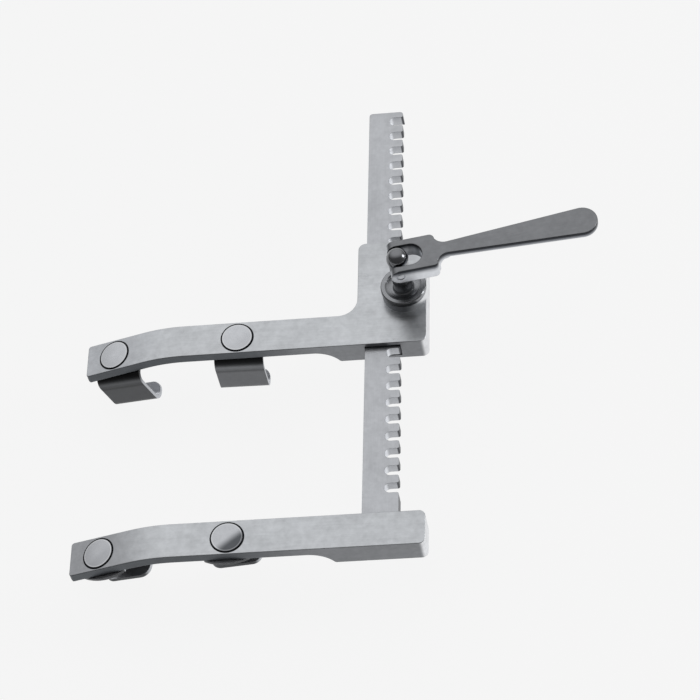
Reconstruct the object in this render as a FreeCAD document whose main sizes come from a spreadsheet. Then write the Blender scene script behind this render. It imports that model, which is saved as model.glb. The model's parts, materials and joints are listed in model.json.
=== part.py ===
import FreeCAD, Part
import math
import os

# Rack and crank self retaining retractor with four swivelling hook blades.
# Frame: X along the arms, Y along the toothed bar towards its free end, Z up out of the arms.
# The origin lies on the flat underside of the fixed arm's block, below the bar's centre line.

Vec = FreeCAD.Vector
doc = FreeCAD.newDocument("retractor")
os.makedirs("parts", exist_ok=True)

# Driving dimensions in millimetres, angles in degrees
SIZES = {
    "arm_width": 15.0,
    "arm_thickness": 4.4,
    "block_height": 11.1,
    "block_right": 18.2,
    "block_left": 18.4,
    "hollow_length": 10.6,
    "heel_radius": 1.2,
    "bend_from_bar": 91.3,
    "bend_tangent": 9.0,
    "tip_length": 35.4,
    "tip_angle": 17.5,
    "tip_corner": 1.2,
    "tip_chamfer": 1.0,
    "block_corner": 2.6,
    "edge_break": 0.35,
    "bar_width": 14.5,
    "bar_thickness": 6.4,
    "bar_below_top": 2.9,
    "bar_free_end": 209.1,
    "socket_depth": 12.0,
    "bar_corner": 1.4,
    "slot_pitch": 8.0,
    "slot_width": 4.35,
    "slot_depth": 5.8,
    "slot_first": 20.1,
    "slot_count": 24,
    "tooth_corner": 0.5,
    "arm_spacing": 94.6,
    "housing_left": 10.4,
    "housing_length": 50.8,
    "housing_corner": 3.0,
    "neck_radius": 8.0,
    "tunnel_play": 0.1,
    "mouth_relief": 1.0,
    "pinion_from_edge": 2.15,
    "pinion_along": 16.2,
    "pin_circle": 4.5,
    "pin_radius": 1.65,
    "pin_count": 3,
    "pin_seat": 3.0,
    "drum_radius": 7.0,
    "drum_play": 0.05,
    "boss_radius": 9.2,
    "boss_height": 3.6,
    "washer_height": 0.45,
    "knob_radius": 9.4,
    "knob_height": 2.3,
    "dish_radius": 7.6,
    "dish_depth": 1.1,
    "post_radius": 4.0,
    "ball_radius": 4.55,
    "ball_height": 24.6,
    "spigot_radius": 3.0,
    "spigot_step": 1.0,
    "stem_radius": 1.5,
    "cover_thickness": 1.7,
    "cover_play": 0.1,
    "cover_reach": 13.4,
    "cover_inside": 8.6,
    "cover_margin": 1.0,
    "screw_along": 11.0,
    "screw_first": 0.6,
    "screw_second": 5.6,
    "screw_radius": 1.0,
    "screw_head_radius": 1.9,
    "screw_head": 0.8,
    "screw_reach": 3.0,
    "screw_groove": 0.6,
    "pinion_screw_radius": 3.0,
    "pinion_screw_head": 0.75,
    "dowel_radius": 1.5,
    "handle_angle": 8.9,
    "pin_height": 22.55,
    "fork_width": 15.8,
    "fork_gap": 10.1,
    "fork_height": 7.5,
    "fork_reach": 16.0,
    "slot_centre": 5.15,
    "lever_neck": 5.9,
    "lever_end": 13.0,
    "lever_length": 82.0,
    "lever_thickness": 3.6,
    "lever_round": 1.1,
    "handle_edge": 0.4,
    "hinge_radius": 1.7,
    "pivot_inner": 60.0,
    "pivot_from_tip": 12.65,
    "rivet_radius": 6.4,
    "rivet_head": 1.75,
    "rivet_sunk": 1.2,
    "rivet_gap": 0.4,
    "shank_radius": 3.2,
    "pivot_play": 0.05,
    "foot_radius": 4.4,
    "foot_height": 1.1,
    "spacer_height": 0.4,
    "spacer_radius": 5.4,
    "blade_width": 20.3,
    "blade_thickness": 1.4,
    "blade_front": 9.5,
    "blade_lean": -1.0,
    "blade_depth": 20.2,
    "blade_top_bend": 4.2,
    "blade_low_bend": 3.2,
    "lip_angle": 10.0,
    "lip_length": 4.8,
    "lip_corner": 4.0,
    "pad_reach": 8.9,
    "pad_shoulder": 6.3,
}

sheet = doc.addObject("Spreadsheet::Sheet", "Sizes")
for row, (alias, number) in enumerate(SIZES.items(), start=1):
    sheet.set("A%d" % row, alias)
    sheet.set("B%d" % row, str(number))
    sheet.setAlias("B%d" % row, alias)
doc.recompute()


def size(alias):
    """Return one driving dimension from the sheet."""
    return float(sheet.get(alias))


def body_plane(body, role):
    """Return one of the body's own origin planes."""
    for feature in body.Origin.OriginFeatures:
        if feature.Role == role:
            return feature
    raise ValueError(role)


def new_body(name):
    """Start one sub-part as a solid body that carries the sub-part's name."""
    body = doc.addObject("PartDesign::Body", name)
    body.Label = name
    return body


def new_sketch(body, name, role, place=None):
    """Add a sketch on one origin plane of the body, moved by an optional placement."""
    sketch = body.newObject("Sketcher::SketchObject", name)
    sketch.AttachmentSupport = (body_plane(body, role), [""])
    sketch.MapMode = "FlatFace"
    if place is not None:
        sketch.AttachmentOffset = place
    return sketch


def shift(x, y, z):
    """Return a placement that only moves."""
    return FreeCAD.Placement(Vec(x, y, z), FreeCAD.Rotation())


def line(sketch, start, end):
    """Draw a straight edge between two points given as pairs."""
    sketch.addGeometry(Part.LineSegment(Vec(start[0], start[1], 0), Vec(end[0], end[1], 0)), False)


def arc(sketch, start, middle, end):
    """Draw a circular edge through three points given as pairs."""
    sketch.addGeometry(Part.Arc(Vec(start[0], start[1], 0), Vec(middle[0], middle[1], 0), Vec(end[0], end[1], 0)), False)


def circle(sketch, centre, radius):
    """Draw a full circle."""
    sketch.addGeometry(Part.Circle(Vec(centre[0], centre[1], 0), Vec(0, 0, 1), radius), False)


def polygon(sketch, points):
    """Draw a closed run of straight edges."""
    for index, point in enumerate(points):
        line(sketch, point, points[(index + 1) % len(points)])


def rectangle(sketch, low, high):
    """Draw a rectangle from its low corner to its high corner."""
    polygon(sketch, [(low[0], low[1]), (high[0], low[1]), (high[0], high[1]), (low[0], high[1])])


def rounded_polygon(sketch, corners):
    """Draw a closed outline whose corners (x, y, radius) are rounded; a radius of 0 leaves a corner sharp."""
    count = len(corners)
    spans = []
    for index, (x, y, radius) in enumerate(corners):
        before = corners[index - 1]
        after = corners[(index + 1) % count]
        into = Vec(x - before[0], y - before[1], 0).normalize()
        out = Vec(after[0] - x, after[1] - y, 0).normalize()
        here = Vec(x, y, 0)
        turn = into.getAngle(out)
        if radius <= 0 or turn < 1e-6:
            spans.append((here, None, here))
            continue
        reach = radius * math.tan(turn / 2)
        start = here - into * reach
        end = here + out * reach
        inward = (out - into).normalize()
        centre = here + inward * (radius / math.cos(turn / 2))
        spans.append((start, centre - inward * radius, end))
    for index, (start, middle, end) in enumerate(spans):
        if middle is not None:
            arc(sketch, (start.x, start.y), (middle.x, middle.y), (end.x, end.y))
        follow = spans[(index + 1) % count][0]
        if (follow - end).Length > 1e-6:
            line(sketch, (end.x, end.y), (follow.x, follow.y))


def pad(body, sketch, name, length, both_sides=False, reverse=False):
    """Raise a sketch; length is an expression on the sheet."""
    feature = body.newObject("PartDesign::Pad", name)
    feature.Profile = sketch
    feature.SideType = "Symmetric" if both_sides else "One side"
    feature.Reversed = reverse
    feature.setExpression("Length", length)
    sketch.Visibility = False
    doc.recompute()
    return feature


def pocket(body, sketch, name, length=None, both_sides=False, reverse=False):
    """Cut a sketch into the body to a length on the sheet, or right through."""
    feature = body.newObject("PartDesign::Pocket", name)
    feature.Profile = sketch
    feature.SideType = "Symmetric" if both_sides else "One side"
    feature.Reversed = reverse
    if length is None:
        feature.Type = "ThroughAll"
    else:
        feature.setExpression("Length", length)
    sketch.Visibility = False
    doc.recompute()
    return feature


def turned(body, name, points, arcs=()):
    """Spin a closed profile of (radius, height) points about the body's Z axis; arcs maps an edge to its mid point."""
    sketch = new_sketch(body, name + "_profile", "XZ_Plane")
    bulges = dict(arcs)
    for index, point in enumerate(points):
        follow = points[(index + 1) % len(points)]
        if index in bulges:
            arc(sketch, point, bulges[index], follow)
        else:
            line(sketch, point, follow)
    feature = body.newObject("PartDesign::Revolution", name + "_turned")
    feature.Profile = sketch
    feature.ReferenceAxis = (sketch, ["V_Axis"])
    feature.Angle = 360.0
    sketch.Visibility = False
    doc.recompute()
    return feature


def edges_where(feature, test):
    """Name the edges of a feature that pass a test on their shape."""
    return ["Edge%d" % (index + 1) for index, edge in enumerate(feature.Shape.Edges) if test(edge)]


def fillet(body, base, name, test, radius):
    """Round the edges that pass a test, with a radius on the sheet."""
    feature = body.newObject("PartDesign::Fillet", name)
    feature.Base = (base, edges_where(base, test))
    feature.setExpression("Radius", radius)
    doc.recompute()
    return feature


def upright(edge, x, y, slack=0.05):
    """Tell whether an edge is a vertical line at the given place."""
    ends = [vertex.Point for vertex in edge.Vertexes]
    if len(ends) != 2 or abs(ends[0].z - ends[1].z) < 1.0:
        return False
    return all(abs(point.x - x) < slack and abs(point.y - y) < slack for point in ends)


def at_height(edge, height):
    """Tell whether an edge lies wholly at one height."""
    box = edge.BoundBox
    return abs(box.ZMin - height) < 1e-4 and abs(box.ZMax - height) < 1e-4


arm_width = size("arm_width")
half_arm = arm_width / 2
block_height = size("block_height")
arm_under = block_height - size("arm_thickness")
bar_half = size("bar_width") / 2
bar_top = block_height - size("bar_below_top")
bar_under = bar_top - size("bar_thickness")
spacing = size("arm_spacing")
tip_slope = math.radians(size("tip_angle"))
pinion_x = bar_half + size("pinion_from_edge")
pinion_y = spacing + size("pinion_along")
inner_x = -size("pivot_inner")
pivot_outer = size("tip_length") - size("pivot_from_tip")
outer_x = -size("bend_from_bar") - pivot_outer * math.cos(tip_slope)
outer_z = block_height - pivot_outer * math.sin(tip_slope)


# Bent arms: one side profile serves both the fixed and the moving arm
def draw_arm_profile(sketch):
    """Draw the side of an arm: block, hollowed heel, thin straight part, bend and dipped tip."""
    thick = size("arm_thickness")
    left = -size("block_left")
    thin = left - size("hollow_length")
    bend = -size("bend_from_bar")
    tangent = size("bend_tangent")
    radius = tangent / math.tan(tip_slope / 2)
    centre = Vec(bend + tangent, block_height - radius, 0)

    def on_bend(part, inset):
        angle = math.pi / 2 + tip_slope * part
        reach = radius - inset
        return (centre.x + reach * math.cos(angle), centre.y + reach * math.sin(angle))

    tip_top = (bend - size("tip_length") * math.cos(tip_slope), block_height - size("tip_length") * math.sin(tip_slope))
    tip_low = (tip_top[0], tip_top[1] - thick / math.cos(tip_slope))
    ease = size("tip_chamfer")
    ease_top = (tip_low[0], tip_low[1] + ease)
    ease_low = (tip_low[0] + ease * math.cos(tip_slope), tip_low[1] + ease * math.sin(tip_slope))
    drop = arm_under
    run = size("hollow_length")
    sweep = (run * run + drop * drop) / (2 * drop)
    hollow = Vec(thin, drop - sweep, 0)
    heel = size("heel_radius")
    heel_x = thin + math.sqrt((sweep + heel) ** 2 - (heel - hollow.y) ** 2)
    heel_centre = Vec(heel_x, heel, 0)
    toward = (heel_centre - hollow).normalize()
    meet = hollow + toward * sweep
    half_turn = (math.pi / 2 + math.atan2(toward.y, toward.x)) / 2
    hollow_mid = (hollow.x + sweep * math.cos(half_turn), hollow.y + sweep * math.sin(half_turn))
    heel_turn = (math.atan2(-toward.y, -toward.x) - math.pi / 2) / 2
    heel_mid = (heel_x + heel * math.cos(heel_turn), heel + heel * math.sin(heel_turn))
    right = size("block_right")
    line(sketch, (right, 0), (right, block_height))
    line(sketch, (right, block_height), on_bend(0, 0))
    arc(sketch, on_bend(0, 0), on_bend(0.5, 0), on_bend(1, 0))
    line(sketch, on_bend(1, 0), tip_top)
    line(sketch, tip_top, ease_top)
    line(sketch, ease_top, ease_low)
    line(sketch, ease_low, on_bend(1, thick))
    arc(sketch, on_bend(1, thick), on_bend(0.5, thick), on_bend(0, thick))
    line(sketch, on_bend(0, thick), (thin, arm_under))
    arc(sketch, (thin, arm_under), hollow_mid, (meet.x, meet.y))
    arc(sketch, (meet.x, meet.y), heel_mid, (heel_x, 0))
    line(sketch, (heel_x, 0), (right, 0))


def tip_place(depth):
    """Return the placement at the outer pivot, tipped with the arm, at a depth below the arm's top."""
    normal = Vec(-math.sin(tip_slope), 0, math.cos(tip_slope))
    point = Vec(outer_x, 0, outer_z) - normal * depth
    return FreeCAD.Placement(point, FreeCAD.Rotation(Vec(0, 1, 0), -size("tip_angle")))


def inner_place(depth):
    """Return the placement at the inner pivot at a depth below the arm's top."""
    return shift(inner_x, 0, block_height - depth)


def cut_pivots(body):
    """Cut the two rivet holes and their counterbores, the outer pair square to the dipped tip."""
    for label, place in (("inner", inner_place), ("outer", tip_place)):
        seat = new_sketch(body, label + "_seat_sketch", "XY_Plane", place(0))
        circle(seat, (0, 0), size("rivet_radius") + size("rivet_gap"))
        pocket(body, seat, label + "_seat", "Sizes.rivet_sunk")
        hole = new_sketch(body, label + "_hole_sketch", "XY_Plane", place(0))
        circle(hole, (0, 0), size("shank_radius"))
        feature = pocket(body, hole, label + "_hole", "Sizes.arm_thickness * 1.5")
    return feature


def is_tip_corner(edge):
    """Tell whether an edge is one of the two short upright edges at the arm's tip."""
    ends = [vertex.Point for vertex in edge.Vertexes]
    if len(ends) != 2:
        return False
    far = -size("bend_from_bar") - size("tip_length") * math.cos(tip_slope) + size("arm_thickness") * 0.5
    return all(p.x < far and abs(abs(p.y) - half_arm) < 0.01 for p in ends) and abs(ends[0].z - ends[1].z) > 2.0


# Fixed arm with the blind socket for the toothed bar and the two dowel holes
def build_fixed_arm():
    body = new_body("fixed_arm")
    profile = new_sketch(body, "fixed_profile", "XZ_Plane")
    draw_arm_profile(profile)
    base = pad(body, profile, "fixed_blank", "Sizes.arm_width", both_sides=True)
    right = size("block_right")
    base = fillet(body, base, "fixed_block_corners", lambda e: upright(e, right, half_arm) or upright(e, right, -half_arm),
                  "Sizes.block_corner")
    base = fillet(body, base, "fixed_tip_corners", is_tip_corner, "Sizes.tip_corner")
    base = fillet(body, base, "fixed_top_edge", lambda e: at_height(e, block_height), "Sizes.edge_break")
    socket = new_sketch(body, "socket_sketch", "XZ_Plane", shift(0, 0, -half_arm))
    rectangle(socket, (-bar_half, bar_under), (bar_half, bar_top))
    pocket(body, socket, "socket", "Sizes.socket_depth", reverse=True)
    dowels = new_sketch(body, "dowel_sketch", "XY_Plane")
    for x in (-3.6, 3.6):
        circle(dowels, (x, 1.0), size("dowel_radius"))
    pocket(body, dowels, "dowel_holes", "Sizes.block_height - Sizes.bar_below_top", reverse=True)
    cut_pivots(body)
    return body


# Toothed bar: one round bottomed slot is cut and repeated along the edge
def build_rack_bar():
    body = new_body("rack_bar")
    low = half_arm - size("socket_depth")
    high = size("bar_free_end")
    blank = new_sketch(body, "bar_outline", "XY_Plane", shift(0, 0, bar_under))
    corner = size("bar_corner")
    rounded_polygon(blank, [(-bar_half, low, 0.4), (bar_half, low, 0.4), (bar_half, high, 0.6), (-bar_half, high, corner)])
    base = pad(body, blank, "bar_blank", "Sizes.bar_thickness")
    fillet(body, base, "bar_edges", lambda e: (at_height(e, bar_top) or at_height(e, bar_under))
           and e.Length > size("bar_width") * 2, "Sizes.edge_break")
    dowels = new_sketch(body, "bar_dowel_sketch", "XY_Plane", shift(0, 0, bar_under))
    for x in (-3.6, 3.6):
        circle(dowels, (x, 1.0), size("dowel_radius"))
    pocket(body, dowels, "bar_dowel_holes", reverse=True)
    radius = size("slot_width") / 2
    first = size("slot_first")
    floor = bar_half - size("slot_depth") + radius
    ease = size("tooth_corner")
    bow = ease * (1 - math.sqrt(0.5))
    slot = new_sketch(body, "slot_sketch", "XY_Plane", shift(0, 0, bar_under))
    arc(slot, (floor, first + radius), (floor - radius, first), (floor, first - radius))
    line(slot, (floor, first - radius), (bar_half - ease, first - radius))
    arc(slot, (bar_half - ease, first - radius), (bar_half - bow, first - radius - bow), (bar_half, first - radius - ease))
    line(slot, (bar_half, first - radius - ease), (bar_half + 1, first - radius - ease))
    line(slot, (bar_half + 1, first - radius - ease), (bar_half + 1, first + radius + ease))
    line(slot, (bar_half + 1, first + radius + ease), (bar_half, first + radius + ease))
    arc(slot, (bar_half, first + radius + ease), (bar_half - bow, first + radius + bow), (bar_half - ease, first + radius))
    line(slot, (bar_half - ease, first + radius), (floor, first + radius))
    cut = pocket(body, slot, "slot", reverse=True)
    row = body.newObject("PartDesign::LinearPattern", "slot_row")
    row.Originals = [cut]
    row.Direction = (slot, ["V_Axis"])
    row.setExpression("Occurrences", "Sizes.slot_count")
    row.setExpression("Length", "Sizes.slot_pitch * (Sizes.slot_count - 1)")
    body.Tip = row
    doc.recompute()
    return body


# Dowels that hold the bar in the fixed arm
def build_rack_pins():
    pins = []
    for index, x in enumerate((-3.6, 3.6)):
        pin = doc.addObject("Part::Cylinder", "dowel_%d" % index)
        pin.setExpression("Radius", "Sizes.dowel_radius")
        pin.setExpression("Height", "Sizes.block_height - Sizes.bar_below_top")
        pin.Placement = shift(x, 1.0, 0)
        pins.append(pin)
    group = doc.addObject("Part::Compound", "rack_pins")
    group.Label = "rack_pins"
    group.Links = pins
    doc.recompute()
    return group


# Moving arm with its housing: tunnel for the bar, pinion bore, raised boss and cover recess
def build_moving_arm():
    body = new_body("moving_arm")
    profile = new_sketch(body, "moving_profile", "XZ_Plane")
    draw_arm_profile(profile)
    pad(body, profile, "moving_blank", "Sizes.arm_width", both_sides=True)
    left = -size("housing_left")
    right = size("block_right")
    top = size("housing_length") - half_arm
    corner = size("housing_corner")
    neck = size("neck_radius")
    outline = new_sketch(body, "housing_outline", "XY_Plane")
    line(outline, (right, -half_arm), (right, top - corner))
    bow = corner * (1 - math.sqrt(0.5))
    arc(outline, (right, top - corner), (right - bow, top - bow), (right - corner, top))
    line(outline, (right - corner, top), (left + corner, top))
    arc(outline, (left + corner, top), (left + bow, top - bow), (left, top - corner))
    line(outline, (left, top - corner), (left, half_arm + neck))
    dip = neck * (1 - math.sqrt(0.5))
    arc(outline, (left, half_arm + neck), (left - dip, half_arm + dip), (left - neck, half_arm))
    line(outline, (left - neck, half_arm), (left - neck + 1, half_arm - 1))
    line(outline, (left - neck + 1, half_arm - 1), (left - neck + 1, -half_arm))
    line(outline, (left - neck + 1, -half_arm), (right, -half_arm))
    base = pad(body, outline, "housing_blank", "Sizes.block_height")
    base = fillet(body, base, "moving_block_corner", lambda e: upright(e, right, -half_arm), "Sizes.block_corner")
    base = fillet(body, base, "moving_tip_corners", is_tip_corner, "Sizes.tip_corner")
    base = fillet(body, base, "moving_top_edge", lambda e: at_height(e, block_height), "Sizes.edge_break")
    centre = (pinion_x, size("pinion_along"))
    boss = new_sketch(body, "boss_sketch", "XY_Plane", shift(0, 0, block_height - 1.0))
    circle(boss, centre, size("boss_radius"))
    pad(body, boss, "boss", "Sizes.boss_height + 1.0")
    play = size("tunnel_play")
    tunnel = new_sketch(body, "tunnel_sketch", "XZ_Plane")
    rectangle(tunnel, (-bar_half - play, bar_under - play), (bar_half + play, bar_top + play))
    pocket(body, tunnel, "tunnel", "Sizes.housing_length * 3", both_sides=True)
    relief = size("mouth_relief")
    for label, y, way in (("near", -half_arm, 1), ("far", top, -1)):
        mouth = new_sketch(body, label + "_mouth_sketch", "YZ_Plane")
        polygon(mouth, [(y - way, bar_top + play - 0.5), (y - way, bar_top + play + relief), (y, bar_top + play + relief),
                        (y + way * 4.0, bar_top + play), (y + way * 4.0, bar_top + play - 0.5)])
        pocket(body, mouth, label + "_mouth", "Sizes.bar_width + 2 * Sizes.tunnel_play", both_sides=True)
    bore = new_sketch(body, "bore_sketch", "XY_Plane")
    circle(bore, centre, size("drum_radius") + size("drum_play"))
    pocket(body, bore, "bore", "Sizes.block_height + Sizes.boss_height", reverse=True)
    recess = new_sketch(body, "recess_sketch", "XY_Plane")
    low, high = cover_limits(size("cover_play"))
    rectangle(recess, low, high)
    pocket(body, recess, "recess", "Sizes.cover_thickness", reverse=True)
    holes = new_sketch(body, "screw_hole_sketch", "XY_Plane")
    for place in cover_screw_places():
        circle(holes, place, size("screw_radius"))
    pocket(body, holes, "screw_holes", "Sizes.cover_thickness + Sizes.screw_reach + 1.0", reverse=True)
    cut_pivots(body)
    body.Placement = shift(0, spacing, 0)
    return body


def cover_limits(play):
    """Return the low and high corners of the cover in the moving arm's frame, grown by a play."""
    along = size("pinion_along")
    reach = size("cover_reach") + play
    low = (pinion_x - size("cover_inside") - play, along - reach)
    return low, (size("block_right") - size("cover_margin") + play, along + reach)


def cover_screw_places():
    """Return the four screw places in the moving arm's frame."""
    along = size("pinion_along")
    columns = (pinion_x + size("screw_first"), pinion_x + size("screw_second"))
    return [(x, along + side * size("screw_along")) for x in columns for side in (-1, 1)]


# Cover plate that closes the pinion bore from below
def build_housing_cover():
    body = new_body("housing_cover")
    low, high = cover_limits(0)
    outline = new_sketch(body, "cover_outline", "XY_Plane")
    rectangle(outline, low, high)
    pad(body, outline, "cover_blank", "Sizes.cover_thickness")
    centre = (pinion_x, size("pinion_along"))
    seat = new_sketch(body, "cover_seat_sketch", "XY_Plane")
    circle(seat, centre, size("pinion_screw_radius") * 1.1)
    pocket(body, seat, "cover_seat", "Sizes.cover_thickness - Sizes.pinion_screw_head", reverse=True)
    hole = new_sketch(body, "cover_hole_sketch", "XY_Plane")
    circle(hole, centre, size("stem_radius") + size("pivot_play"))
    for place in cover_screw_places():
        circle(hole, place, size("screw_radius"))
    pocket(body, hole, "cover_holes", reverse=True)
    sinks = new_sketch(body, "cover_sink_sketch", "XY_Plane")
    for place in cover_screw_places():
        circle(sinks, place, size("screw_head_radius"))
    pocket(body, sinks, "cover_sinks", "Sizes.screw_head + 0.1", reverse=True)
    body.Placement = shift(0, spacing, 0)
    return body


# Four slotted screws that hold the cover
def build_cover_screws():
    screws = []
    for index, place in enumerate(cover_screw_places()):
        head = doc.addObject("Part::Cylinder", "screw_head_%d" % index)
        head.setExpression("Radius", "Sizes.screw_head_radius")
        head.setExpression("Height", "Sizes.screw_head")
        head.Placement = shift(place[0], place[1] + spacing, 0.1)
        stem = doc.addObject("Part::Cylinder", "screw_stem_%d" % index)
        stem.setExpression("Radius", "Sizes.screw_radius")
        stem.setExpression("Height", "Sizes.cover_thickness + Sizes.screw_reach")
        stem.Placement = shift(place[0], place[1] + spacing, 0.5)
        whole = doc.addObject("Part::Fuse", "screw_blank_%d" % index)
        whole.Base = head
        whole.Tool = stem
        groove = doc.addObject("Part::Box", "screw_groove_%d" % index)
        groove.setExpression("Length", "Sizes.screw_head_radius * 3")
        groove.setExpression("Width", "Sizes.screw_groove")
        groove.setExpression("Height", "Sizes.screw_groove * 0.75")
        groove.Placement = shift(place[0] - size("screw_head_radius") * 1.5, place[1] + spacing - size("screw_groove") / 2, 0.0)
        screw = doc.addObject("Part::Cut", "screw_%d" % index)
        screw.Base = whole
        screw.Tool = groove
        screws.append(screw)
    group = doc.addObject("Part::Compound", "cover_screws")
    group.Label = "cover_screws"
    group.Links = screws
    doc.recompute()
    return group


# Thrust washer between the boss and the turning knob
def build_thrust_washer():
    body = new_body("thrust_washer")
    outer = size("boss_radius") - 0.6
    inner = size("drum_radius") + 0.4
    base = block_height + size("boss_height")
    ring = new_sketch(body, "ring_sketch", "XY_Plane", shift(0, 0, base))
    circle(ring, (0, 0), outer)
    circle(ring, (0, 0), inner)
    pad(body, ring, "ring", "Sizes.washer_height")
    body.Placement = shift(pinion_x, pinion_y, 0)
    return body


def knob_base():
    """Return the height of the knob's underside."""
    return block_height + size("boss_height") + size("washer_height") + size("drum_play")


# Drum that turns in the housing bore and carries the three drive pins
def build_crank_drum():
    body = new_body("crank_drum")
    under = bar_top + 0.5
    top = knob_base()
    radius = size("drum_radius")
    hub = size("spigot_radius")
    stem = size("stem_radius")
    step = block_height + size("spigot_step")
    blank = [(stem, under), (radius, under), (radius, top), (hub, top), (hub, step), (stem, step)]
    turned(body, "drum", blank)
    sockets = new_sketch(body, "pin_sockets_sketch", "XY_Plane", shift(0, 0, under))
    for x, y in drive_pin_places():
        circle(sockets, (x, y), size("pin_radius"))
    pocket(body, sockets, "pin_sockets", "Sizes.pin_seat", reverse=True)
    body.Placement = shift(pinion_x, pinion_y, 0)
    return body


def drive_pin_places():
    """Return the drive pin centres about the pinion axis, turned so that they mesh with the slots at rest."""
    pitch = size("slot_pitch")
    count = int(size("pin_count"))
    past = (pinion_y - size("slot_first")) / pitch
    past -= math.floor(past)
    phase = math.pi + past * 2 * math.pi / count
    reach = size("pin_circle")
    return [(reach * math.cos(phase + 2 * math.pi * k / count), reach * math.sin(phase + 2 * math.pi * k / count))
            for k in range(count)]


# Three drive pins that work in the slots of the bar
def build_drive_pins():
    pins = []
    foot = bar_under + 0.3
    for index, (x, y) in enumerate(drive_pin_places()):
        pin = doc.addObject("Part::Cylinder", "drive_pin_%d" % index)
        pin.setExpression("Radius", "Sizes.pin_radius")
        pin.setExpression("Height", "Sizes.bar_thickness + 0.2 + Sizes.pin_seat")
        pin.Placement = shift(pinion_x + x, pinion_y + y, foot)
        pins.append(pin)
    group = doc.addObject("Part::Compound", "drive_pins")
    group.Label = "drive_pins"
    group.Links = pins
    doc.recompute()
    return group


# Dished knob on top of the drum
def build_crank_knob():
    body = new_body("crank_knob")
    under = knob_base()
    top = under + size("knob_height")
    rim = size("knob_radius")
    dish = size("dish_radius")
    floor = top - size("dish_depth")
    hub = size("spigot_radius")
    flat = size("post_radius") + 0.6
    bow = ((dish + flat) / 2 + 0.15, (top + floor) / 2 - 0.25)
    blank = [(hub, under), (rim - 0.3, under), (rim, under + 0.3), (rim, top - 0.4), (rim - 0.4, top), (dish, top),
             (flat, floor), (hub, floor)]
    turned(body, "knob", blank, {5: bow})
    body.Placement = shift(pinion_x, pinion_y, 0)
    return body


# Post with the ball end that carries the folding handle
def build_ball_post():
    body = new_body("ball_post")
    floor = knob_base() + size("knob_height") - size("dish_depth")
    spigot = size("spigot_radius")
    base = block_height + size("spigot_step") + 0.05
    post = size("post_radius")
    ball = size("ball_radius")
    centre = block_height + size("ball_height")
    meet = centre - math.sqrt(ball * ball - post * post)
    points = [(0, base), (spigot, base), (spigot, floor), (post + 0.5, floor), (post, floor + 0.6), (post, meet), (0, centre + ball)]
    turned(body, "post", points, {5: (ball, centre)})
    eye = new_sketch(body, "eye_sketch", "XZ_Plane")
    circle(eye, (0, block_height + size("pin_height")), size("hinge_radius") + size("pivot_play"))
    pocket(body, eye, "eye", "Sizes.ball_radius * 4", both_sides=True)
    body.Placement = FreeCAD.Placement(Vec(pinion_x, pinion_y, 0), FreeCAD.Rotation(Vec(0, 0, 1), size("handle_angle")))
    return body


# Screw that holds the drum down through the cover
def build_pinion_screw():
    body = new_body("pinion_screw")
    head = size("pinion_screw_head")
    wide = size("pinion_screw_radius")
    low = size("cover_thickness") - 2 * head - 0.05
    top = block_height - 0.7
    stem = size("stem_radius")
    points = [(0, low), (wide, low), (wide, low + head), (stem, low + head), (stem, top), (0, top)]
    turned(body, "screw", points)
    groove = new_sketch(body, "groove_sketch", "XY_Plane", shift(0, 0, low))
    rectangle(groove, (-wide - 1, -size("screw_groove") * 0.6), (wide + 1, size("screw_groove") * 0.6))
    pocket(body, groove, "groove", "Sizes.cover_thickness / 4", reverse=True)
    body.Placement = shift(pinion_x, pinion_y, 0)
    return body


# Hinge pin through the fork and the post
def build_hinge_pin():
    body = new_body("hinge_pin")
    half = size("fork_width") / 2
    radius = size("hinge_radius")
    points = [(0, -half), (radius - 0.4, -half), (radius, -half + 0.3), (radius, half - 0.3), (radius - 0.4, half), (0, half)]
    turned(body, "hinge", points)
    spin = FreeCAD.Rotation(Vec(0, 0, 1), size("handle_angle")).multiply(FreeCAD.Rotation(Vec(1, 0, 0), 90))
    body.Placement = FreeCAD.Placement(Vec(pinion_x, pinion_y, block_height + size("pin_height")), spin)
    return body


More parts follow.
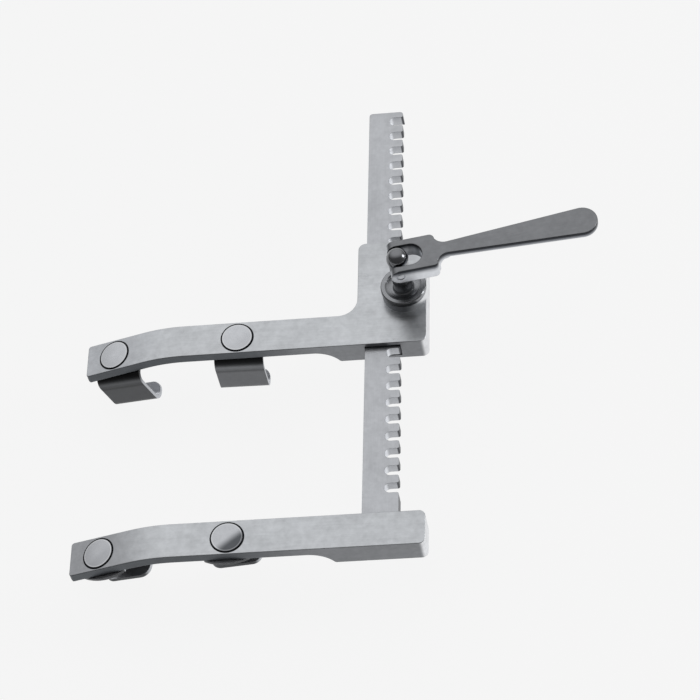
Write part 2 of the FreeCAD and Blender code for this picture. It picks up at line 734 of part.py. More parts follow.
# Folding crank handle: forked end, waist and paddle
def build_crank_handle():
    body = new_body("crank_handle")
    half = size("fork_width") / 2
    gap = size("fork_gap") / 2
    reach = size("fork_reach")
    neck = size("lever_neck") / 2
    end = size("lever_end") / 2
    length = size("lever_length")
    rise = size("fork_height") / 2
    plan = new_sketch(body, "handle_plan", "XY_Plane", shift(0, 0, -rise))
    back = -rise
    waist = reach + 5.4
    hollow = 4.2
    tip = length - end
    lean = math.asin((end - neck) / (tip - waist))
    meet = (tip - end * math.sin(lean), end * math.cos(lean))
    for way in (1, -1):
        line(plan, (back, way * gap), (back, way * half))
        line(plan, (back, way * half), (reach - 2.0, way * half))
        arc(plan, (reach - 2.0, way * half), (reach - 0.45, way * (half - 0.75)), (reach, way * (half - 2.2)))
        arc(plan, (reach, way * (half - 2.2)), (reach + 5.4 - 3.9, way * (neck + 0.95)), (waist, way * neck))
        line(plan, (waist, way * neck), (meet[0], way * meet[1]))
        line(plan, (back, way * gap), (size("slot_centre"), way * gap))
    arc(plan, (meet[0], meet[1]), (length, 0), (meet[0], -meet[1]))
    arc(plan, (size("slot_centre"), gap), (size("slot_centre") + gap, 0), (size("slot_centre"), -gap))
    pad(body, plan, "handle_blank", "Sizes.fork_height")
    side = new_sketch(body, "handle_side", "XZ_Plane")
    thin = rise - size("lever_thickness")
    rounded_polygon(side, [(reach + 0.6, -rise - 1, 0), (reach + 0.6, thin, 2.2), (length + 1, thin, 0), (length + 1, -rise - 1, 0)])
    base = pocket(body, side, "underside", "Sizes.fork_width * 2", both_sides=True)
    base = fillet(body, base, "lever_low_edges", lambda e: at_height(e, thin) and e.Length > 12, "Sizes.lever_round")
    fillet(body, base, "handle_top_edges", lambda e: at_height(e, rise) and e.BoundBox.XMax > back + 0.1, "Sizes.handle_edge")
    nose = new_sketch(body, "handle_nose", "XZ_Plane")
    slant = rise * math.sqrt(0.5)
    arc(nose, (0, rise), (-slant, slant), (-rise, 0))
    arc(nose, (-rise, 0), (-slant, -slant), (0, -rise))
    line(nose, (0, -rise), (-rise - 1, -rise))
    line(nose, (-rise - 1, -rise), (-rise - 1, rise))
    line(nose, (-rise - 1, rise), (0, rise))
    pocket(body, nose, "nose", "Sizes.fork_width * 2", both_sides=True)
    eye = new_sketch(body, "handle_eye", "XZ_Plane")
    circle(eye, (0, 0), size("hinge_radius"))
    pocket(body, eye, "eye_holes", "Sizes.fork_width * 2", both_sides=True)
    spin = FreeCAD.Rotation(Vec(0, 0, 1), size("handle_angle"))
    body.Placement = FreeCAD.Placement(Vec(pinion_x, pinion_y, block_height + size("pin_height")), spin)
    return body


def strip_outline(points, radii, half):
    """Return the edges of a bent strip: a centre line with rounded corners, given a half thickness on each side."""
    heads = [(points[i + 1] - points[i]).normalize() for i in range(len(points) - 1)]

    def side_edges(side):
        edges = []
        normal = Vec(-heads[0].y, heads[0].x, 0) * side * half
        here = points[0] + normal
        for index in range(1, len(points) - 1):
            into, out = heads[index - 1], heads[index]
            turn = math.atan2(into.x * out.y - into.y * out.x, into.x * out.x + into.y * out.y)
            sign = 1 if turn > 0 else -1
            radius = radii[index - 1]
            reach = radius * math.tan(abs(turn) / 2)
            left_in = Vec(-into.y, into.x, 0)
            left_out = Vec(-out.y, out.x, 0)
            centre = points[index] - into * reach + left_in * sign * radius
            start = points[index] - into * reach + left_in * side * half
            end = points[index] + out * reach + left_out * side * half
            toward = (points[index] - centre).normalize()
            middle = centre + toward * (radius - side * sign * half)
            edges.append((here, None, start))
            edges.append((start, middle, end))
            here = end
        last = Vec(-heads[-1].y, heads[-1].x, 0) * side * half
        edges.append((here, None, points[-1] + last))
        return edges

    return side_edges(1), side_edges(-1)


# Hook blade: pivot pad with a bowed end, rolled shoulder, upright plate and lip turned out at the foot
def build_blade(name, place, swing, mirrored):
    body = new_body(name)
    thick = size("blade_thickness")
    half = thick / 2
    gap = size("spacer_height") + size("pivot_play")
    level = -gap - half
    lean = math.radians(size("blade_lean"))
    lip = math.radians(size("lip_angle"))
    front = -size("blade_front") + half / math.cos(lean)
    drop = size("blade_depth") - half
    shoulder = Vec(front, level, 0)
    foot_y = front + (drop + level) * math.tan(lean) - 1.6 * math.tan(lean)
    low_bend = size("blade_low_bend")
    turn = math.pi / 2 - lean + lip
    sink = low_bend / math.cos(turn / 2)
    bisect = (-lean - math.pi / 2 + 2 * lean + lip) / 2
    corner_drop = sink * math.sin((math.pi - turn) / 2 + lip) - low_bend
    foot = Vec(foot_y, -drop - corner_drop, 0)
    reach = low_bend * math.tan(turn / 2)
    tip = foot + Vec(math.cos(lip), math.sin(lip), 0) * (reach + size("lip_length"))
    path = [Vec(size("pad_reach"), level, 0), shoulder, foot, tip]
    profile = new_sketch(body, name + "_profile", "YZ_Plane")
    left, right = strip_outline(path, [size("blade_top_bend"), low_bend], half)
    for start, middle, end in left + right:
        if middle is None:
            line(profile, (start.x, start.y), (end.x, end.y))
        else:
            arc(profile, (start.x, start.y), (middle.x, middle.y), (end.x, end.y))
    for near, far in ((left[0][0], right[0][0]), (left[-1][2], right[-1][2])):
        line(profile, (near.x, near.y), (far.x, far.y))
    pad(body, profile, name + "_strip", "Sizes.blade_width", both_sides=True)
    width = size("blade_width") / 2
    shoulder_y = size("pad_shoulder")
    crown = size("pad_reach")
    far = crown + 1
    trim = new_sketch(body, name + "_trim", "XY_Plane")
    arc(trim, (-width, shoulder_y), (0, crown), (width, shoulder_y))
    line(trim, (width, shoulder_y), (width + 1, shoulder_y))
    line(trim, (width + 1, shoulder_y), (width + 1, far))
    line(trim, (width + 1, far), (-width - 1, far))
    line(trim, (-width - 1, far), (-width - 1, shoulder_y))
    line(trim, (-width - 1, shoulder_y), (-width, shoulder_y))
    pocket(body, trim, name + "_pad", "Sizes.blade_thickness * 2")
    hole = new_sketch(body, name + "_hole_sketch", "XY_Plane")
    circle(hole, (0, 0), size("shank_radius") + size("pivot_play"))
    base = pocket(body, hole, name + "_hole", "Sizes.blade_thickness * 2")

    def is_lip_corner(edge):
        ends = [vertex.Point for vertex in edge.Vertexes]
        if len(ends) != 2 or abs(edge.Length - thick) > 0.01:
            return False
        middle = (ends[0] + ends[1]) * 0.5
        return abs(abs(middle.x) - width) < 0.01 and (middle - Vec(middle.x, tip.x, tip.y)).Length < 0.05

    fillet(body, base, name + "_lip_corners", is_lip_corner, "Sizes.lip_corner")
    spin = FreeCAD.Rotation(Vec(0, 0, 1), swing + (180 if mirrored else 0))
    body.Placement = place.multiply(FreeCAD.Placement(Vec(0, 0, 0), spin))
    return body


# Flush disc headed rivet that carries a blade
def build_rivet(name, place):
    body = new_body(name)
    head = size("rivet_radius")
    sunk = size("rivet_sunk")
    proud = size("rivet_head") - sunk
    shank = size("shank_radius")
    thick = size("arm_thickness")
    blade_under = -thick - size("spacer_height") - size("blade_thickness") - 2 * size("pivot_play")
    foot = size("foot_radius")
    low = blade_under - size("foot_height")
    points = [(0, low), (foot - 0.9, low), (foot, low + 0.6), (foot, blade_under), (shank, blade_under), (shank, -sunk),
              (head, -sunk), (head, proud * 0.3), (0, proud)]
    rise = proud * 0.7
    crown = (rise * rise + head * head) / (2 * rise)
    dome = (head / 2, proud - crown + math.sqrt(crown * crown - head * head / 4))
    turned(body, name, points, {7: dome})
    body.Placement = place
    return body


# Spacer washer between arm and blade
def build_spacer(name, place):
    body = new_body(name)
    ring = new_sketch(body, name + "_ring", "XY_Plane", shift(0, 0, -size("spacer_height")))
    circle(ring, (0, 0), size("spacer_radius"))
    circle(ring, (0, 0), size("shank_radius"))
    pad(body, ring, name + "_disc", "Sizes.spacer_height")
    body.Placement = place
    return body


def pivot_frames():
    """Return the four pivots: name, arm offset, placement maker, rest swing and whether the blade faces the other way."""
    return [
        ("fixed_inner", 0.0, inner_place, 4.5, True),
        ("fixed_outer", 0.0, tip_place, -5.0, True),
        ("moving_inner", spacing, inner_place, -0.8, False),
        ("moving_outer", spacing, tip_place, -6.7, False),
    ]


parts = [
    build_fixed_arm(),
    build_rack_bar(),
    build_rack_pins(),
    build_moving_arm(),
    build_housing_cover(),
    build_cover_screws(),
    build_thrust_washer(),
    build_crank_drum(),
    build_drive_pins(),
    build_crank_knob(),
    build_ball_post(),
    build_pinion_screw(),
    build_hinge_pin(),
    build_crank_handle(),
]
for label, offset, frame, swing, mirrored in pivot_frames():
    moved = shift(0, offset, 0)
    top_place = moved.multiply(frame(0))
    under_place = moved.multiply(frame(size("arm_thickness")))
    parts.append(build_blade("blade_" + label, under_place, swing, mirrored))
    parts.append(build_rivet("rivet_" + label, top_place))
    parts.append(build_spacer("spacer_" + label, under_place))

doc.recompute()
for thing in doc.Objects:
    if "Invalid" in thing.State or "Error" in thing.State:
        raise RuntimeError("%s is %s" % (thing.Label, thing.State))
for part in parts:
    shape = part.Shape
    if shape.isNull() or not shape.isValid():
        raise RuntimeError("%s has no valid shape" % part.Label)
    print(part.Label, "solids", len(shape.Solids), "volume", round(shape.Volume, 1))
    shape.exportStep("parts/%s.step" % part.Label)
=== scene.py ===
"""Looks for a rack and crank self retaining retractor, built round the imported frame."""

import json
import logging
import math
from dataclasses import dataclass, field
from enum import Enum
from typing import Iterable

import bpy
from mathutils import Matrix, Vector

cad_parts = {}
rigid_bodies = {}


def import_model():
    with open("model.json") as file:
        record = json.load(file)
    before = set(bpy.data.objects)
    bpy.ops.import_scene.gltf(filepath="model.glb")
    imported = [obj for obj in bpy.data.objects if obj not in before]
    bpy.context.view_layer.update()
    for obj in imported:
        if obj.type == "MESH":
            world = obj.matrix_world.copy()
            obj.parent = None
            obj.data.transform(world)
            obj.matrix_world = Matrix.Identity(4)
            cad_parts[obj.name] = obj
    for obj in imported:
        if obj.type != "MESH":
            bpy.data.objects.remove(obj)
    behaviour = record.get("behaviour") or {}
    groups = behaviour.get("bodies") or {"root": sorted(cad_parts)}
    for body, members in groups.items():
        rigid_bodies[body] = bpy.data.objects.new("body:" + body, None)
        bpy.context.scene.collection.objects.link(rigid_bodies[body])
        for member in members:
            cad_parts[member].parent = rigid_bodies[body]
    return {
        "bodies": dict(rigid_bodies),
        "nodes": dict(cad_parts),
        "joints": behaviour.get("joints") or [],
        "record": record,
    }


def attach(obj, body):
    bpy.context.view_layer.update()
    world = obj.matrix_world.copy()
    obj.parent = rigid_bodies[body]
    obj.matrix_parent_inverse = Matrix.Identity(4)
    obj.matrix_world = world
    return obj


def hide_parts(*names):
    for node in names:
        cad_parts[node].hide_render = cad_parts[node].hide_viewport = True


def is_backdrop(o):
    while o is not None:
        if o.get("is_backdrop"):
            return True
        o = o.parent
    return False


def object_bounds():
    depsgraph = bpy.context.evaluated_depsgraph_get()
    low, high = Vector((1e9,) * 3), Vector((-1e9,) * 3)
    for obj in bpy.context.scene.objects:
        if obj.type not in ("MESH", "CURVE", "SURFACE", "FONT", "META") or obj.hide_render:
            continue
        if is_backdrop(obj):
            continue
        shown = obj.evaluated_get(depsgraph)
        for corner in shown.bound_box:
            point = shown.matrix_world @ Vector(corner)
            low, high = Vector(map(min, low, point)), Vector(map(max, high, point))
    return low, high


log = logging.getLogger("retractor")

Colour = tuple[float, float, float]
Bands = tuple[tuple[float, Colour], ...]
Plan = list[tuple[float, float]]
Socket = bpy.types.NodeSocket

MM = 0.001

# Patterns, in cells per metre.
CLOUD_CELLS = 90.0
MOTTLE_CELLS = 420.0
FINE_CELLS = 110.0
BROAD_CELLS = 22.0
RING_CELLS = 2200.0
BLAST_CELLS = 1500.0
ACROSS_GRAIN = 20.0

# How the patterns and the rounded edges act on a finish.
TINT_STRENGTH = 1.6
GRAIN_ROUGHNESS = 0.16
CLOUD_ROUGHNESS = 0.10
BUMP_HEIGHT = 0.1 * MM
BEVEL_SAMPLES = 4
FLAT_NORMAL = (0.45, 0.9)
EDGE_TURN = (0.99, 0.80)


class Grain(Enum):
    """Which way the abrasive ran over a surface."""

    ALONG_ARM = "along_arm"
    ALONG_BAR = "along_bar"
    ALONG_HANDLE = "along_handle"
    TURNED = "turned"
    BLASTED = "blasted"


@dataclass
class NodeSheet:
    """A material's node tree with short calls for adding and joining nodes.

    Attributes:
        material: the material that the nodes belong to.
        column: where the next node is drawn, so that the tree stays readable.
    """

    material: bpy.types.Material
    column: int = -1400

    def add(self, kind: str, **settings: object) -> bpy.types.Node:
        """Add a node.

        Args:
            kind: the node's Blender type.
            settings: properties to set on it.

        Returns:
            The new node.
        """
        node = self.material.node_tree.nodes.new(kind)
        node.location = (self.column, 0)
        self.column += 180
        for name, value in settings.items():
            setattr(node, name, value)
        return node

    def join(self, source: Socket, target: Socket) -> None:
        """Link one socket to another."""
        self.material.node_tree.links.new(source, target)

    def math(self, operation: str, first: object, second: object = None,
             clamp: bool = False) -> Socket:
        """Add a Math node.

        Args:
            operation: the node's operation.
            first: a socket or a number.
            second: a socket or a number, where the operation takes two.
            clamp: whether the result is kept from 0 to 1.

        Returns:
            The result socket.
        """
        node = self.add("ShaderNodeMath", operation=operation, use_clamp=clamp)
        for slot, value in enumerate((first, second)):
            if value is None:
                continue
            if isinstance(value, (int, float)):
                node.inputs[slot].default_value = value
            else:
                self.join(value, node.inputs[slot])
        return node.outputs[0]

    def ramp(self, source: Socket, low: float, high: float, start: float = 0.0,
             end: float = 1.0) -> Socket:
        """Map a value smoothly from one range to another.

        Args:
            source: the value that is mapped.
            low: the source value that gives start.
            high: the source value that gives end.
            start: the result at low.
            end: the result at high.

        Returns:
            The mapped value.
        """
        node = self.add("ShaderNodeMapRange", interpolation_type="SMOOTHSTEP", clamp=True)
        self.join(source, node.inputs["Value"])
        for name, value in (("From Min", low), ("From Max", high),
                            ("To Min", start), ("To Max", end)):
            node.inputs[name].default_value = value
        return node.outputs["Result"]

    def blend(self, factor: Socket, first: object, second: object) -> Socket:
        """Mix two colours.

        Args:
            factor: 0 gives first and 1 gives second.
            first: a colour or a socket.
            second: a colour or a socket.

        Returns:
            The mixed colour.
        """
        node = self.add("ShaderNodeMix", data_type="RGBA")
        self.join(factor, node.inputs[0])
        for slot, value in ((6, first), (7, second)):
            if isinstance(value, (tuple, list)):
                node.inputs[slot].default_value = (*value, 1.0)
            else:
                self.join(value, node.inputs[slot])
        return node.outputs[2]

    def scaled(self, colour: Socket, share: Socket) -> Socket:
        """Scale a colour.

        Args:
            colour: the colour.
            share: what it is multiplied by.

        Returns:
            The scaled colour.
        """
        node = self.add("ShaderNodeVectorMath", operation="SCALE")
        self.join(colour, node.inputs[0])
        self.join(share, node.inputs["Scale"])
        return node.outputs[0]

    def split(self, vector: Socket) -> bpy.types.Node:
        """Split a vector.

        Args:
            vector: the vector.

        Returns:
            The node whose X, Y and Z are the vector's parts.
        """
        node = self.add("ShaderNodeSeparateXYZ")
        self.join(vector, node.inputs[0])
        return node

    def stops(self, source: Socket, span: float, marks: Bands) -> Socket:
        """Give a colour that follows a distance.

        Args:
            source: the distance, in metres.
            span: the distance at which the last colour is reached, in metres.
            marks: distances in metres with the colour at each, in rising order.

        Returns:
            The colour.
        """
        node = self.add("ShaderNodeValToRGB")
        share = self.math("DIVIDE", source, span, clamp=True)
        self.join(share, node.inputs[0])
        node.color_ramp.interpolation = "EASE"
        points = node.color_ramp.elements
        while len(points) < len(marks):
            points.new(1.0)
        for point, (distance, colour) in zip(points, marks):
            point.position = distance / span
            point.color = (*colour, 1.0)
        return node.outputs["Color"]

    def noise(self, place: Socket, stretch: tuple[float, float, float], detail: float,
              roughness: float = 0.55, spin: float = 0.0) -> Socket:
        """Add a noise pattern stretched by its three scales.

        Args:
            place: the coordinates that the pattern reads, in metres.
            stretch: cells per metre along each axis.
            detail: octaves of finer pattern.
            roughness: how strong the finer pattern is.
            spin: turn about Z, in radians, before the stretch.

        Returns:
            The pattern's value.
        """
        if spin:
            turn = self.add("ShaderNodeMapping", vector_type="POINT")
            turn.inputs["Rotation"].default_value = (0.0, 0.0, -spin)
            self.join(place, turn.inputs["Vector"])
            place = turn.outputs["Vector"]
        mapping = self.add("ShaderNodeMapping", vector_type="POINT")
        mapping.inputs["Scale"].default_value = stretch
        self.join(place, mapping.inputs["Vector"])
        texture = self.add("ShaderNodeTexNoise", noise_dimensions="3D")
        texture.inputs["Scale"].default_value = 1.0
        texture.inputs["Detail"].default_value = detail
        texture.inputs["Roughness"].default_value = roughness
        self.join(mapping.outputs["Vector"], texture.inputs["Vector"])
        return texture.outputs[0]


@dataclass(frozen=True)
class Pivot:
    """A turning axis of the part.

    Attributes:
        centre: a point on the axis, in metres.
        dip: how far the axis leans in the plane of the arm, in radians.
    """

    centre: tuple[float, float, float]
    dip: float = 0.0

    def local(self, sheet: NodeSheet, place: Socket) -> Socket:
        """Measure a place from the centre, with Z along the axis.

        Args:
            sheet: the material's nodes.
            place: the object's own coordinates.

        Returns:
            The place seen from the axis.
        """
        offset = sheet.add("ShaderNodeVectorMath", operation="SUBTRACT")
        sheet.join(place, offset.inputs[0])
        offset.inputs[1].default_value = self.centre
        turn = sheet.add("ShaderNodeMapping", vector_type="POINT")
        turn.inputs["Rotation"].default_value = (0.0, self.dip, 0.0)
        sheet.join(offset.outputs[0], turn.inputs["Vector"])
        return turn.outputs["Vector"]

    def off_axis(self, sheet: NodeSheet, place: Socket,
                 drift: tuple[float, float] = (0.0, 0.0)) -> Socket:
        """Measure the distance of a place from the axis.

        Args:
            sheet: the material's nodes.
            place: the object's own coordinates.
            drift: how far the measured circle's middle lies off the axis, in metres.

        Returns:
            The distance, in metres.
        """
        shifted = sheet.add("ShaderNodeVectorMath", operation="SUBTRACT")
        sheet.join(self.local(sheet, place), shifted.inputs[0])
        shifted.inputs[1].default_value = (*drift, 0.0)
        flat = sheet.add("ShaderNodeVectorMath", operation="MULTIPLY")
        sheet.join(shifted.outputs[0], flat.inputs[0])
        flat.inputs[1].default_value = (1.0, 1.0, 0.0)
        length = sheet.add("ShaderNodeVectorMath", operation="LENGTH")
        sheet.join(flat.outputs[0], length.inputs[0])
        return length.outputs["Value"]


@dataclass(frozen=True)
class SteelFinish:
    """One finish of stainless steel, with its grain, with painted shade and painted light on its upright
    sides by the way they face, and with painted shading along its edges.

    Attributes:
        name: the material's name.
        face: colour of ground faces that look up or down.
        front: colour of upright sides that look to the front or the back: painted shade on the arms, the
            crank and the rivets, and painted light on the bar's slot walls and the handle's sides.
        right: colour of upright sides that look to the right: painted light on the arms, the bar and the
            crank, and on the handle the painted reflection low on its sides.
        edge: colour painted along the edges: a painted highlight on the arms, the crank and the blades, and a
            painted dark line on the bar, the handle and the rivets.
        grain: which way the abrasive ran.
        roughness: roughness of the ground faces.
        side_roughness: roughness of the sides.
        grain_depth: strength of the grain's bump.
        tone: how much the grain lightens and darkens the colour.
        edge_size: radius of the rounded edge and width of the painted edge colour, in metres.
        edge_share: how strongly the painted edge colour shows.
        side_turn: the normal's X at which a side's painted colour begins to turn from front to right,
        and at which it has turned.
        pivot: the axis of a turned face.
        heading: the handle's direction in plan, in radians.
    """

    name: str
    face: Colour
    front: Colour
    right: Colour
    edge: Colour
    grain: Grain
    roughness: float = 0.34
    side_roughness: float = 0.40
    grain_depth: float = 0.06
    tone: float = 0.09
    edge_size: float = 0.22 * MM
    edge_share: float = 0.7
    side_turn: tuple[float, float] = (0.15, 0.85)
    pivot: Pivot = Pivot((0.0, 0.0, 0.0))
    heading: float = 0.0

    def build(self) -> bpy.types.Material:
        """Build the material.

        Returns:
            The new material.
        """
        material = bpy.data.materials.new(self.name)
        material.use_nodes = True
        sheet = NodeSheet(material)
        shader = next(n for n in material.node_tree.nodes if n.type == "BSDF_PRINCIPLED")
        shader.inputs["Metallic"].default_value = 1.0
        source = sheet.add("ShaderNodeTexCoord")
        place = source.outputs["Object"]
        grain = self._grain(sheet, place)
        cloud = sheet.noise(place, (CLOUD_CELLS,) * 3, 4.0, roughness=0.6)
        mottle = sheet.noise(place, (MOTTLE_CELLS,) * 3, 4.0, roughness=0.6)
        normal = sheet.split(source.outputs["Normal"])
        flatness = sheet.ramp(sheet.math("ABSOLUTE", normal.outputs["Z"]), *FLAT_NORMAL)
        # Upright sides take painted shade and painted light by the way they face.
        sides = self.painted_side_colour(sheet, place, normal)
        colour = sheet.blend(flatness, sides, self.face_colour(sheet, place))
        colour = self._tint(sheet, colour, grain, cloud, mottle)
        # Painted highlight and painted dark line along the edges, by finish, broken up by the mottle.
        edge_paint = sheet.math("MULTIPLY", self._painted_edge_share(sheet), sheet.ramp(mottle, 0.35, 0.65, 0.55, 1.0))
        colour = sheet.blend(edge_paint, colour, self.edge)
        sheet.join(self.marks(sheet, colour, place), shader.inputs["Base Color"])
        rough = sheet.ramp(flatness, 0.0, 1.0, self.side_roughness, self.roughness)
        for pattern, share in ((grain, GRAIN_ROUGHNESS), (cloud, CLOUD_ROUGHNESS)):
            change = sheet.math("MULTIPLY", sheet.math("SUBTRACT", pattern, 0.5), share)
            rough = sheet.math("ADD", rough, change, clamp=True)
        sheet.join(rough, shader.inputs["Roughness"])
        bump = sheet.add("ShaderNodeBump")
        bump.inputs["Strength"].default_value = self.grain_depth
        bump.inputs["Distance"].default_value = BUMP_HEIGHT
        sheet.join(grain, bump.inputs["Height"])
        sheet.join(self._rounded(sheet), bump.inputs["Normal"])
        sheet.join(bump.outputs["Normal"], shader.inputs["Normal"])
        return material

    def face_colour(self, sheet: NodeSheet, place: Socket) -> object:
        """Return the colour of the ground faces.

        Args:
            sheet: the material's nodes.
            place: the object's own coordinates.

        Returns:
            A colour or a socket.
        """
        return self.face

    def painted_side_colour(self, sheet: NodeSheet, place: Socket, normal: bpy.types.Node) -> Socket:
        """Return the painted shade and painted light of the upright sides.

        Args:
            sheet: the material's nodes.
            place: the object's own coordinates.
            normal: the node that splits the object's own normal.

        Returns:
            The colour of a side from where it lies and which way it looks.
        """
        return sheet.blend(sheet.ramp(normal.outputs["X"], *self.side_turn), self.front, self.right)

    def marks(self, sheet: NodeSheet, colour: Socket, place: Socket) -> Socket:
        """Return the colour with the marks that lie on every face.

        Args:
            sheet: the material's nodes.
            colour: the colour so far.
            place: the object's own coordinates.

        Returns:
            The colour with its marks.
        """
        return colour

    def _grain(self, sheet: NodeSheet, place: Socket) -> Socket:
        """Return the grain's pattern for this finish.

        Args:
            sheet: the material's nodes.
            place: the object's own coordinates.

        Returns:
            The pattern's value.
        """
        along_arm = (1.0, ACROSS_GRAIN, ACROSS_GRAIN)
        if self.grain is Grain.ALONG_ARM:
            return self._streaks(sheet, place, along_arm)
        if self.grain is Grain.ALONG_BAR:
            return self._streaks(sheet, place, (ACROSS_GRAIN, 1.0, ACROSS_GRAIN))
        if self.grain is Grain.ALONG_HANDLE:
            return self._streaks(sheet, place, along_arm, self.heading)
        if self.grain is Grain.TURNED:
            return self._turned(sheet, place)
        return sheet.noise(place, (BLAST_CELLS,) * 3, 2.0, roughness=0.7)

    def _streaks(self, sheet: NodeSheet, place: Socket, shape: tuple[float, float, float],
                 spin: float = 0.0) -> Socket:
        """Return fine scratches with broader streaks beneath them.

        Args:
            sheet: the material's nodes.
            place: the object's own coordinates.
            shape: how much finer the pattern is along each axis.
            spin: turn of the grain about Z, in radians.

        Returns:
            The pattern's value.
        """
        fine = sheet.noise(place, tuple(FINE_CELLS * part for part in shape), 4.0, spin=spin)
        broad = sheet.noise(place, tuple(BROAD_CELLS * part for part in shape), 3.0, roughness=0.7, spin=spin)
        return sheet.math("MULTIPLY", sheet.math("ADD", fine, broad), 0.5)

    def _turned(self, sheet: NodeSheet, place: Socket) -> Socket:
        """Return rings about the turning axis.

        Args:
            sheet: the material's nodes.
            place: the object's own coordinates.

        Returns:
            The pattern's value.
        """
        ring = sheet.add("ShaderNodeTexNoise", noise_dimensions="1D")
        ring.inputs["Scale"].default_value = RING_CELLS
        ring.inputs["Detail"].default_value = 2.0
        sheet.join(self.pivot.off_axis(sheet, place), ring.inputs["W"])
        return ring.outputs[0]

    def _rounded(self, sheet: NodeSheet) -> Socket:
        """Return the normal with the edges rounded.

        Args:
            sheet: the material's nodes.

        Returns:
            The rounded normal.
        """
        bevel = sheet.add("ShaderNodeBevel", samples=BEVEL_SAMPLES)
        bevel.inputs["Radius"].default_value = self.edge_size
        return bevel.outputs["Normal"]

    def _painted_edge_share(self, sheet: NodeSheet) -> Socket:
        """Return how much of the painted edge colour shows, where the rounded normal leaves the true one.

        Args:
            sheet: the material's nodes.

        Returns:
            The share of the painted edge colour.
        """
        true = sheet.add("ShaderNodeNewGeometry")
        turn = sheet.add("ShaderNodeVectorMath", operation="DOT_PRODUCT")
        sheet.join(self._rounded(sheet), turn.inputs[0])
        sheet.join(true.outputs["Normal"], turn.inputs[1])
        return sheet.ramp(turn.outputs["Value"], *EDGE_TURN, 0.0, self.edge_share)

    def _tint(self, sheet: NodeSheet, colour: Socket, *patterns: Socket) -> Socket:
        """Lighten and darken a colour with patterns.

        Args:
            sheet: the material's nodes.
            colour: the colour so far.
            patterns: patterns whose middle value is 0.5.

        Returns:
            The tinted colour.
        """
        level = 1.0
        for pattern in patterns:
            change = sheet.math("MULTIPLY", sheet.math("SUBTRACT", pattern, 0.5), TINT_STRENGTH * self.tone)
            level = sheet.math("ADD", change, level)
        return sheet.scaled(colour, level)


@dataclass(frozen=True)
class ArmFinish(SteelFinish):
    """Satin steel of an arm: the side darkens towards the tip, and the rivet seats are black inside.

    Attributes:
        block: painted colour of the block's side, near the bar, lighter than the painted side shade further
            out.
        block_start: where along the arm the side has its darkest painted shade, in metres.
        block_end: where the block's side has its full painted colour, in metres.
        tip: colour of the top at the tip.
        tip_start: where along the arm the top has the tip's colour, in metres.
        tip_end: where the top has its full colour, in metres.
        far: share of the top's colour that is left at the housing's far end.
        far_start: where along the bar the top begins to darken, in metres.
        far_end: where it has darkened, in metres.
        seats: the axes of the rivet seats.
        seat_radius: radius inside which a seat's wall and rim take painted shade, in metres.
        seat_blur: half the width over which the painted shade ends, in metres.
        seat_drift: how far a seat's painted shade lies off its axis, in metres.
        seat: colour of the painted shade in the seats.
    """

    block: Colour = (0.222, 0.228, 0.240)
    block_start: float = -62.0 * MM
    block_end: float = -20.0 * MM
    tip: Colour = (0.44, 0.455, 0.48)
    tip_start: float = -112.0 * MM
    tip_end: float = -84.0 * MM
    far: float = 0.86
    far_start: float = 112.0 * MM
    far_end: float = 148.0 * MM
    seats: tuple[Pivot, ...] = ()
    seat_radius: float = 6.92 * MM
    seat_blur: float = 0.08 * MM
    seat_drift: tuple[float, float] = (0.10 * MM, -0.14 * MM)
    seat: Colour = (0.015, 0.017, 0.020)
    side_turn: tuple[float, float] = (0.0, 0.6)

    def face_colour(self, sheet: NodeSheet, place: Socket) -> Socket:
        """Return the top's colour from its place along the arm and along the bar.

        Args:
            sheet: the material's nodes.
            place: the object's own coordinates.

        Returns:
            The colour.
        """
        where = sheet.split(place)
        inward = sheet.ramp(where.outputs["X"], self.tip_start, self.tip_end)
        far = sheet.ramp(where.outputs["Y"], self.far_start, self.far_end, 1.0, self.far)
        return sheet.scaled(sheet.blend(inward, self.tip, self.face), far)

    def painted_side_colour(self, sheet: NodeSheet, place: Socket, normal: bpy.types.Node) -> Socket:
        """Return the side's painted shade and light from its place along the arm and the way it looks.

        Args:
            sheet: the material's nodes.
            place: the object's own coordinates.
            normal: the node that splits the object's own normal.

        Returns:
            The colour.
        """
        along = sheet.ramp(sheet.split(place).outputs["X"], self.block_start, self.block_end)
        front = sheet.blend(along, self.front, self.block)
        return sheet.blend(sheet.ramp(normal.outputs["X"], *self.side_turn), front, self.right)

    def marks(self, sheet: NodeSheet, colour: Socket, place: Socket) -> Socket:
        """Return the colour with painted shade in the rivet seats.

        Args:
            sheet: the material's nodes.
            colour: the colour so far.
            place: the object's own coordinates.

        Returns:
            The colour with its seats.
        """
        near, far = self.seat_radius - self.seat_blur, self.seat_radius + self.seat_blur
        # Painted shade in the gap round each rivet disc, where the seat's wall and rim are.
        for axis in self.seats:
            inside = sheet.ramp(axis.off_axis(sheet, place, self.seat_drift), near, far, 1.0, 0.0)
            colour = sheet.blend(inside, colour, self.seat)
        return colour


@dataclass(frozen=True)
class BarFinish(SteelFinish):
    """Satin steel of the toothed bar, with painted light on the slot walls and slot ends and painted shade on
    the rounded tooth tips.

    Attributes:
        tooth: colour of the painted shade on the rounded tips of the teeth.
        tooth_start: where the tips' painted shade begins across the bar, in metres.
        tooth_full: where it is full, in metres.
    """

    tooth: Colour = (0.085, 0.088, 0.096)
    tooth_start: float = 6.2 * MM
    tooth_full: float = 6.7 * MM
    side_turn: tuple[float, float] = (0.25, 0.75)

    def painted_side_colour(self, sheet: NodeSheet, place: Socket, normal: bpy.types.Node) -> Socket:
        """Return the side's painted light and shade: slot walls, slot ends or tooth tips.

        Args:
            sheet: the material's nodes.
            place: the object's own coordinates.
            normal: the node that splits the object's own normal.

        Returns:
            The colour.
        """
        slot = super().painted_side_colour(sheet, place, normal)
        tips = sheet.ramp(sheet.split(place).outputs["X"], self.tooth_start, self.tooth_full)
        return sheet.blend(tips, slot, self.tooth)


